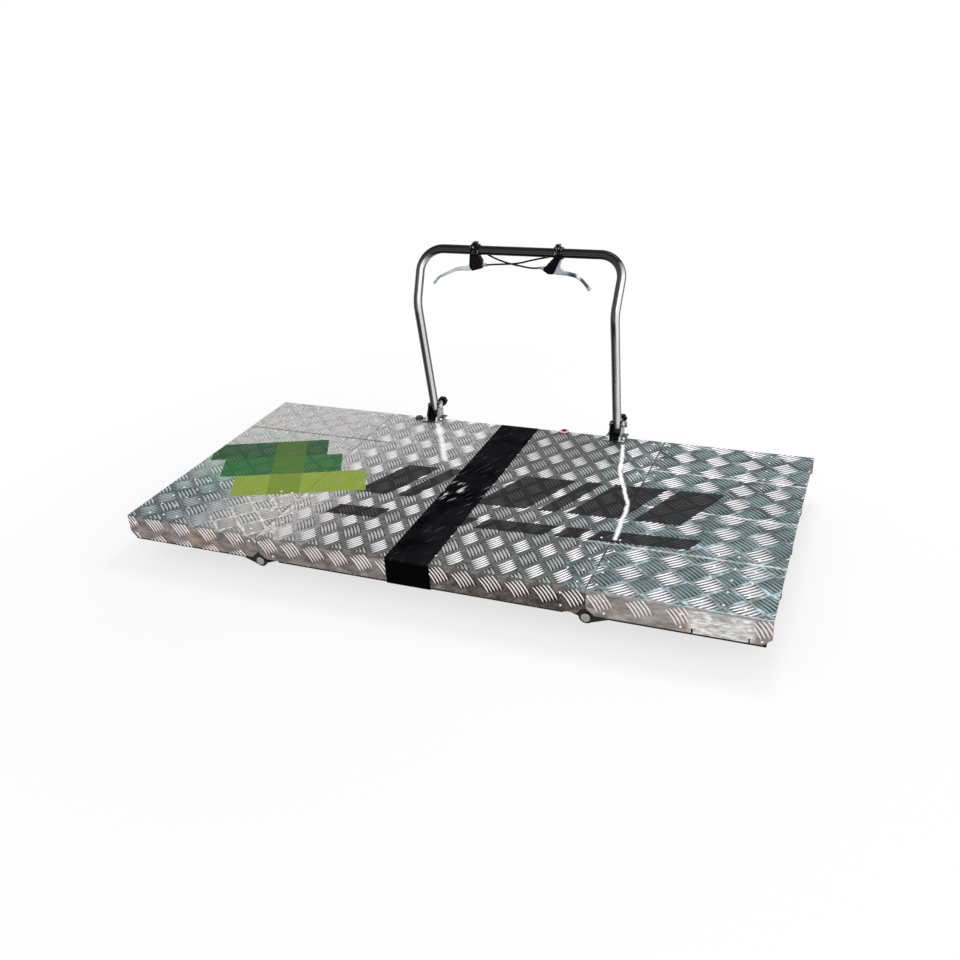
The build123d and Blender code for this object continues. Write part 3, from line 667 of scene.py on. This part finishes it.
def blade_finish():
    """Cast alloy blades, bluish at the root; the right one is dark along its outer half, with a painted
    highlight across it.
    """
    finish = Finish("blade_alloy", (0.36, 0.39, 0.41), 0.32, metallic=0.8)
    point, x, *_ = finish.place()
    root, tip = (corner.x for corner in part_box("right_brake_blade"))
    reach = (x - root) * (1 / (tip - root))
    streak = finish.noise(finish.stretched(point, (1.0, 3.0, 3.0)), 24.0, 2.0)
    # The pale band across the right blade is a painted highlight
    right = finish.ramp(
        reach + (streak - 0.5) * 0.1,
        ((0.0, (0.42, 0.50, 0.54)), (0.34, (0.30, 0.36, 0.40)), (0.48, (0.05, 0.055, 0.06)),
         (0.60, grey(0.06)), (0.66, grey(0.80)), (0.70, grey(0.80)), (0.76, grey(0.07)),
         (0.92, grey(0.09)), (0.97, grey(0.60))),
    )
    left = finish.ramp(streak, ((0.35, (0.36, 0.42, 0.46)), (0.65, (0.58, 0.65, 0.69))))
    finish.feed("Base Color", finish.mix(x.above(0.0), left, right))
    return finish.material


def plain_finish(name, color, roughness, metallic=0.0, coat=0.0, grain=0.0, shine=0.5):
    """One colour with a little grain in its roughness and its surface."""
    finish = Finish(name, color, roughness, metallic, coat, shine)
    if grain:
        point = finish.place()[0]
        speck = finish.noise(point, 80.0, 4.0)
        finish.feed("Roughness", roughness - grain / 2 + grain * speck)
        finish.bump(speck, 0.3, 0.0006)
    return finish.material


finishes = {
    "tread_plate": plate_finish(),
    # Lit and shaded copies of one bar metal: a painted highlight and painted shade
    "bright_bars": bar_finish("bright_bars", (0.80, 0.77, 0.78), (0.94, 0.905, 0.92), 0.35, 0.45, 0.1),
    "dull_bars": bar_finish("dull_bars", (0.38, 0.39, 0.385), (0.60, 0.61, 0.60), 0.5, 0.80, 1.0),
    "black_band": band_finish(),
    "polished_tube": tube_finish(),
    "bracket_steel": bracket_finish(),
    "frame_black": plain_finish("frame_black", (0.010, 0.010, 0.011), 0.42, grain=0.2, shine=0.2),
    "zinc_steel": plain_finish("zinc_steel", (0.62, 0.62, 0.61), 0.28, 0.9, grain=0.15),
    "hinge_steel": plain_finish("hinge_steel", (0.32, 0.315, 0.31), 0.28, 0.8, grain=0.15),
    "rivet_heads": plain_finish("rivet_heads", grey(0.88), 0.3, 0.3),
    "wheel_steel": plain_finish("wheel_steel", (0.34, 0.34, 0.35), 0.35, 0.9, grain=0.25),
    "brake_lining": plain_finish("brake_lining", (0.035, 0.033, 0.03), 0.85, grain=0.2),
    "black_plastic": plain_finish("black_plastic", (0.003, 0.003, 0.0035), 0.4, grain=0.15, shine=0.08),
    "clamp_plastic": clamp_finish(),
    "blade_alloy": blade_finish(),
    "silver_alloy": plain_finish("silver_alloy", (0.36, 0.39, 0.41), 0.32, 0.8, grain=0.2),
    "cable_sheath": plain_finish("cable_sheath", (0.006, 0.006, 0.007), 0.4, shine=0.15),
    "black_rubber": plain_finish("black_rubber", (0.012, 0.014, 0.014), 0.3, coat=0.2, shine=0.3),
    "red_plastic": plain_finish("red_plastic", (0.74, 0.36, 0.42), 0.35, coat=0.2),
    "red_lens": plain_finish("red_lens", (0.045, 0.001, 0.008), 0.25, shine=0.1),
}


# Modelling helpers
def select_only(*pieces):
    for other in bpy.context.selected_objects:
        other.select_set(False)
    for piece in pieces:
        piece.select_set(True)
    bpy.context.view_layer.objects.active = pieces[0]


def settle(piece):
    """Puts the piece's place, turn and size into its mesh."""
    select_only(piece)
    bpy.ops.object.transform_apply(location=True, rotation=True, scale=True)
    return piece


def new_copy(piece):
    twin = piece.copy()
    twin.data = piece.data.copy()
    bpy.context.scene.collection.objects.link(twin)
    return twin


def joined(pieces, name):
    select_only(*pieces)
    bpy.ops.object.join()
    whole = bpy.context.view_layer.objects.active
    whole.name = name
    return whole


def apply_modifier(piece, kind, **settings):
    select_only(piece)
    modifier = piece.modifiers.new(kind.lower(), kind)
    for key, value in settings.items():
        setattr(modifier, key, value)
    bpy.ops.object.modifier_apply(modifier=modifier.name)


def trim(piece, point, outwards):
    """Cuts off what lies beyond a plane and closes the cut."""
    select_only(piece)
    bpy.ops.object.mode_set(mode="EDIT")
    bpy.ops.mesh.select_all(action="SELECT")
    bpy.ops.mesh.bisect(plane_co=point, plane_no=outwards, use_fill=True, clear_outer=True)
    bpy.ops.object.mode_set(mode="OBJECT")


def dress(piece, body, finish, angle=35):
    select_only(piece)
    bpy.ops.object.shade_smooth_by_angle(angle=radians(angle))
    piece.data.materials.clear()
    piece.data.materials.append(finishes[finish])
    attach(piece, body)


def cad_twin(node, name):
    """The CAD piece again, free of its parent, with its double points merged."""
    twin = new_copy(frame["nodes"][node])
    twin.parent = None
    for key in list(twin.keys()):
        del twin[key]
    twin.name = name
    select_only(twin)
    bpy.ops.object.mode_set(mode="EDIT")
    bpy.ops.mesh.select_all(action="SELECT")
    bpy.ops.mesh.remove_doubles(threshold=0.00001)
    bpy.ops.mesh.dissolve_limited(angle_limit=radians(1))
    bpy.ops.object.mode_set(mode="OBJECT")
    return twin


def rounded_cad(node, body, finish, width):
    """The CAD piece with its edges rounded off, in place of the plain one."""
    twin = cad_twin(node, node + "_soft")
    apply_modifier(
        twin, "BEVEL", width=width, segments=2, limit_method="ANGLE",
        angle_limit=radians(35), use_clamp_overlap=True,
    )
    dress(twin, body, finish, angle=40)
    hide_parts(node)


def without(piece, start, end):
    """The piece with the stretch from start to end along X left out."""
    right_part = new_copy(piece)
    trim(piece, (start, 0, 0), (1, 0, 0))
    trim(right_part, (end, 0, 0), (-1, 0, 0))
    return joined([piece, right_part], piece.name)


# Tread pattern
def lone_bar(length, width, height, bow):
    """One raised bar of the tread, along X: a long lens, bowed a little, with a flat bottom."""
    bpy.ops.mesh.primitive_uv_sphere_add(segments=10, ring_count=8, radius=1, rotation=(0, pi / 2, 0))
    bar = bpy.context.active_object
    settle(bar)
    bar.scale = (length / 2, width / 2, height)
    settle(bar)
    apply_modifier(bar, "SIMPLE_DEFORM", deform_method="BEND", deform_axis="Z", angle=bow)
    trim(bar, (0, 0, -SUNK), (0, 0, -1))
    return bar


def bar_group(name, lean, stack, length, bow, height, width):
    """Bars side by side that all lean the same way."""
    bars = []
    pattern = lone_bar(length, width, height, bow)
    for index in range(BARS):
        bar = new_copy(pattern)
        bar.location = Vector((*stack, 0)) * (index - (BARS - 1) / 2)
        bar.rotation_euler = (0, 0, lean)
        bars.append(bar)
    bpy.data.objects.remove(pattern)
    for bar in bars:
        settle(bar)
    return joined(bars, name)


def dome(radius, height):
    bpy.ops.mesh.primitive_uv_sphere_add(segments=10, ring_count=6, radius=radius)
    piece = bpy.context.active_object
    piece.scale = (1, 1, height / radius)
    settle(piece)
    trim(piece, (0, 0, -SUNK), (0, 0, -1))
    return piece


def repeated(group, counts, pitch):
    for axis in range(2):
        offset = [0.0, 0.0, 0.0]
        offset[axis] = pitch[axis]
        apply_modifier(
            group, "ARRAY", count=counts[axis], use_relative_offset=False,
            use_constant_offset=True, constant_offset_displace=offset,
        )
    return group


def trim_ends(cover, low, high):
    """Cuts the tread off just inside both ends of its panel."""
    trim(cover, (low.x + SEAM_CLEARANCE, 0, 0), (-1, 0, 0))
    trim(cover, (high.x - SEAM_CLEARANCE, 0, 0), (1, 0, 0))


def first_before(place, pitch, edge):
    """The last place of a row, at this pitch, that lies before the edge."""
    return place - pitch * (int((place - edge) / pitch) + 1)


def top_tread(body, name, family):
    """The groups of one family over the top of one panel."""
    low, high = PANELS[body]
    cover = bar_group(
        name, family.lean, family.stack, family.length, family.bow, family.height, BAR_WIDTH,
    )
    start = [first_before(family.first[i], family.pitch[i], (low.x, DECK_FRONT)[i]) for i in range(2)]
    across = int((high.x - low.x) / family.pitch[0]) + 3
    deep = int((DECK_BACK - DECK_FRONT) / family.pitch[1]) + 3
    repeated(cover, (across, deep), family.pitch)
    cover.location = (*start, DECK_TOP)
    settle(cover)
    trim_ends(cover, low, high)
    trim(cover, (0, DECK_FRONT + SMOOTH_BEND, 0), (0, -1, 0))
    trim(cover, (0, DECK_BACK - SMOOTH_BEND, 0), (0, 1, 0))
    return cover


def skirt_tread(body, name, lean, stack, rows, pitch, height):
    """Rows of groups down the front and the back skirt of one panel."""
    low, high = PANELS[body]
    covers = []
    for turned in (False, True):
        left = -high.x if turned else low.x
        for first_x, z in rows:
            cover = bar_group(name, lean, stack, SKIRT_BAR, SKIRT_BAR_BOW, height, SKIRT_BAR_WIDTH)
            repeated(cover, (int((high.x - low.x) / pitch) + 3, 1), (pitch, 1.0))
            cover.location = (first_before(first_x, pitch, left), z, 0)
            settle(cover)
            cover.rotation_euler = (pi / 2, 0, 0)
            settle(cover)
            cover.location = (0, DECK_FRONT, DECK_TOP)
            settle(cover)
            if turned:
                cover.rotation_euler = (0, 0, pi)
                settle(cover)
            covers.append(cover)
    skirts = joined(covers, name)
    trim_ends(skirts, low, high)
    trim(skirts, (0, 0, SKIRT_BOTTOM + SEAM_CLEARANCE), (0, 0, -1))
    trim(skirts, (0, 0, DECK_TOP - BEND_CLEARANCE), (0, 0, 1))
    for end, side in ((low.x, -1), (high.x, 1)):
        trim(skirts, (end, 0, SKIRT_BOTTOM + CORNER_CUT[1]), (side * CORNER_CUT[1], 0, -CORNER_CUT[0]))
    return skirts


# The skirts bear no tread where the band or the tape lies over them
BARE_STRETCHES = {"center_deck": BAND, "right_flap": TAPED}
for body, families in TREAD.items():
    for name, family in zip(("rising", "falling"), families):
        cover = top_tread(body, body + "_" + name + "_bars", family)
        if body == "center_deck":
            cover = without(cover, *BAND)
        dress(cover, body, family.finish, 60)
    pitch, bright_rows, dim_rows = SKIRT[body]
    # The bright skirt rows wear the painted-highlight bar finish
    rows_table = (
        # name, lean, stack, rows, bar height, finish
        ("_skirt_bars", BRIGHT_LEAN, BRIGHT_STACK, bright_rows, 0.0015, "bright_bars"),
        ("_skirt_cross_bars", DIM_LEAN, DIM_STACK, dim_rows, 0.0007, "tread_plate"),
    )
    for name, lean, stack, rows, height, finish in rows_table:
        if not rows:
            continue
        cover = skirt_tread(body, body + name, lean, stack, rows, pitch, height)
        if body in BARE_STRETCHES:
            cover = without(cover, *BARE_STRETCHES[body])
        dress(cover, body, finish, 60)


def seam_edge(node, body, side):
    """A thin slice of the plate just outside its end, so that the seam shows as a fine line."""
    low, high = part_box(node)
    end = high.x if side > 0 else low.x
    slice_ = cad_twin(node, node + ("_right" if side > 0 else "_left") + "_seam_edge")
    trim(slice_, (end - side * SEAM_SLICE, 0, 0), (-side, 0, 0))
    slice_.location = (side * SEAM_SLICE, 0, 0)
    settle(slice_)
    dress(slice_, body, "tread_plate")


seam_edge("left_flap_plate", "left_flap", 1)
seam_edge("center_plate", "center_deck", -1)
seam_edge("center_plate", "center_deck", 1)
seam_edge("right_flap_plate", "right_flap", -1)


# Rivet dots
def dots(body, name, places):
    """Small bright rivet heads at the places given on the top or the front skirt."""
    pattern = dome(3 * MM, 1.8 * MM)
    heads = []
    for x, y, z in places:
        head = new_copy(pattern)
        if z < DECK_TOP:
            head.rotation_euler = (pi / 2 if y < 0 else -pi / 2, 0, 0)
        head.location = (x, y, z)
        settle(head)
        heads.append(head)
    bpy.data.objects.remove(pattern)
    dress(joined(heads, name), body, "rivet_heads")


front_rows = tuple(y * MM for y in (-361, -311, -263, -216, -164))
back_rows = tuple(y * MM for y in (179, 228, 277, 326, 366))
top_columns = {
    "left_flap": (-0.774, -0.730, -0.688, -0.492, -0.459),
    "center_deck": (0.361, 0.398, -0.398),
    "right_flap": (0.443, 0.672, 0.718, 0.763),
}
skirt_dots = {
    "left_flap": ((-0.803, -0.019), (-0.803, -0.052), (-0.641, -0.019), (-0.641, -0.052),
                  (-0.480, -0.019), (-0.480, -0.052), (-0.448, -0.017)),
    "center_deck": ((-0.419, -0.017), (-0.386, -0.017), (-0.383, -0.051), (0.368, -0.015),
                    (0.368, -0.049)),
    "right_flap": ((0.432, -0.014), (0.467, -0.019), (0.467, -0.052), (0.635, -0.019),
                   (0.635, -0.052), (0.804, -0.055)),
}
for body in PANELS:
    places = [(x, y, DECK_TOP) for x in top_columns[body] for y in front_rows + back_rows]
    places += [(x, DECK_FRONT, DECK_TOP + z) for x, z in skirt_dots[body]]
    places += [(x, DECK_BACK, DECK_TOP + z) for x, z in skirt_dots[body]]
    dots(body, body + "_rivets", places)

# Bolt heads on the handle brackets' bases
base_top = DECK_TOP + 4 * MM
for side, name in ((-1, "left"), (1, "right")):
    heads = []
    for offset in (-23.8 * MM, 23.8 * MM):
        head = dome(4.6 * MM, 3.2 * MM)
        head.location = (side * LEG_X + offset, 374 * MM, base_top)
        heads.append(settle(head))
    dress(joined(heads, name + "_base_bolts"), "center_deck", "rivet_heads")

# Finishes for the CAD pieces, and rounded twins where edges show
body_of_node = {}
for body, nodes in frame["record"]["behaviour"]["bodies"].items():
    body_of_node.update({node: body for node in nodes})
for row in frame["record"]["subparts"]:
    piece = frame["nodes"][row["node"]]
    piece.data.materials.clear()
    piece.data.materials.append(finishes[row["material_slot"]])
    select_only(piece)
    bpy.ops.object.shade_smooth_by_angle(angle=radians(30))

soft_pieces = (
    # node, finish, edge width
    ("left_hinge_pins", "hinge_steel", 0.0018),
    ("right_hinge_pins", "hinge_steel", 0.0018),
    ("left_clamp_knob", "black_plastic", 0.0025),
    ("right_clamp_knob", "black_plastic", 0.0025),
    ("left_lever_perch", "clamp_plastic", 0.0015),
    ("right_lever_perch", "clamp_plastic", 0.0015),
    ("left_brake_blade", "blade_alloy", 0.0022),
    ("right_brake_blade", "blade_alloy", 0.0022),
    ("left_handle_bracket", "bracket_steel", 0.0006),
    ("right_handle_bracket", "bracket_steel", 0.0006),
    ("marker_lamp_ring", "red_plastic", 0.0022),
    ("marker_lamp_lens", "red_lens", 0.0022),
)
for node, finish, width in soft_pieces:
    rounded_cad(node, body_of_node[node], finish, width)

# Floor, lights and camera
bpy.ops.mesh.primitive_plane_add(size=60, location=(0, 0, 0))
floor = bpy.context.active_object
floor.name = "floor"
settle(floor)
floor_finish = Finish("studio_floor", (0.86, 0.86, 0.86), 0.9, shine=0.1)
point, x, y, z = floor_finish.place()
far = (x * x + y * y).above(1.6, 0.9)
camera_ray = floor_finish.node("ShaderNodeLightPath", {}, out="Is Camera Ray")
glossy_ray = floor_finish.node("ShaderNodeLightPath", {}, out="Is Glossy Ray")
glow = floor_finish.node("ShaderNodeEmission", {}, (1, 1, 1, 1), 1.0)
both = floor_finish.node("ShaderNodeMixShader", {}, (camera_ray + glossy_ray) * (0.72 + 0.28 * far))
tree = floor_finish.tree
tree.links.new(floor_finish.shader.outputs[0], both.socket.node.inputs[1])
tree.links.new(glow.socket, both.socket.node.inputs[2])
tree.links.new(both.socket, tree.nodes["Material Output"].inputs["Surface"])
floor.data.materials.append(floor_finish.material)

world = bpy.data.worlds.new("studio")
bpy.context.scene.world = world
world.use_nodes = True
nodes = world.node_tree.nodes
links = world.node_tree.links
soft_light = nodes["Background"]
soft_light.inputs["Color"].default_value = (1, 1, 1, 1)
soft_light.inputs["Strength"].default_value = 0.75
white = nodes.new("ShaderNodeBackground")
white.inputs["Color"].default_value = (1, 1, 1, 1)
white.inputs["Strength"].default_value = 1.0
path = nodes.new("ShaderNodeLightPath")
pick_world = nodes.new("ShaderNodeMixShader")
seen = nodes.new("ShaderNodeMath")
links.new(path.outputs["Is Camera Ray"], seen.inputs[0])
links.new(path.outputs["Is Glossy Ray"], seen.inputs[1])
links.new(seen.outputs[0], pick_world.inputs[0])
links.new(soft_light.outputs[0], pick_world.inputs[1])
links.new(white.outputs[0], pick_world.inputs[2])
links.new(pick_world.outputs[0], nodes["World Output"].inputs["Surface"])


def panel_light(name, place, aim, size, power):
    bpy.ops.object.light_add(type="AREA", location=place)
    lamp = bpy.context.active_object
    lamp.name = name
    lamp.data.size = size
    lamp.data.energy = power
    lamp.rotation_euler = (Vector(aim) - Vector(place)).to_track_quat("-Z", "Y").to_euler()


panel_light("overhead_panel", (0.6, 1.2, 2.6), (0, 0, 0.12), 0.9, 30)
panel_light("front_panel", (1.9, -2.4, 2.0), (0, 0, 0.2), 1.6, 20)

camera_data = bpy.data.cameras.new("photo_camera")
camera_data.sensor_width = 36
camera_data.lens = 37.38
camera = bpy.data.objects.new("photo_camera", camera_data)
bpy.context.scene.collection.objects.link(camera)
camera.location = (0.97135, -2.13219, 1.34464)
camera.rotation_euler = (radians(62.8009), radians(3.7200), radians(22.1096))
bpy.context.scene.camera = camera
bpy.context.scene.view_settings.view_transform = "Standard"
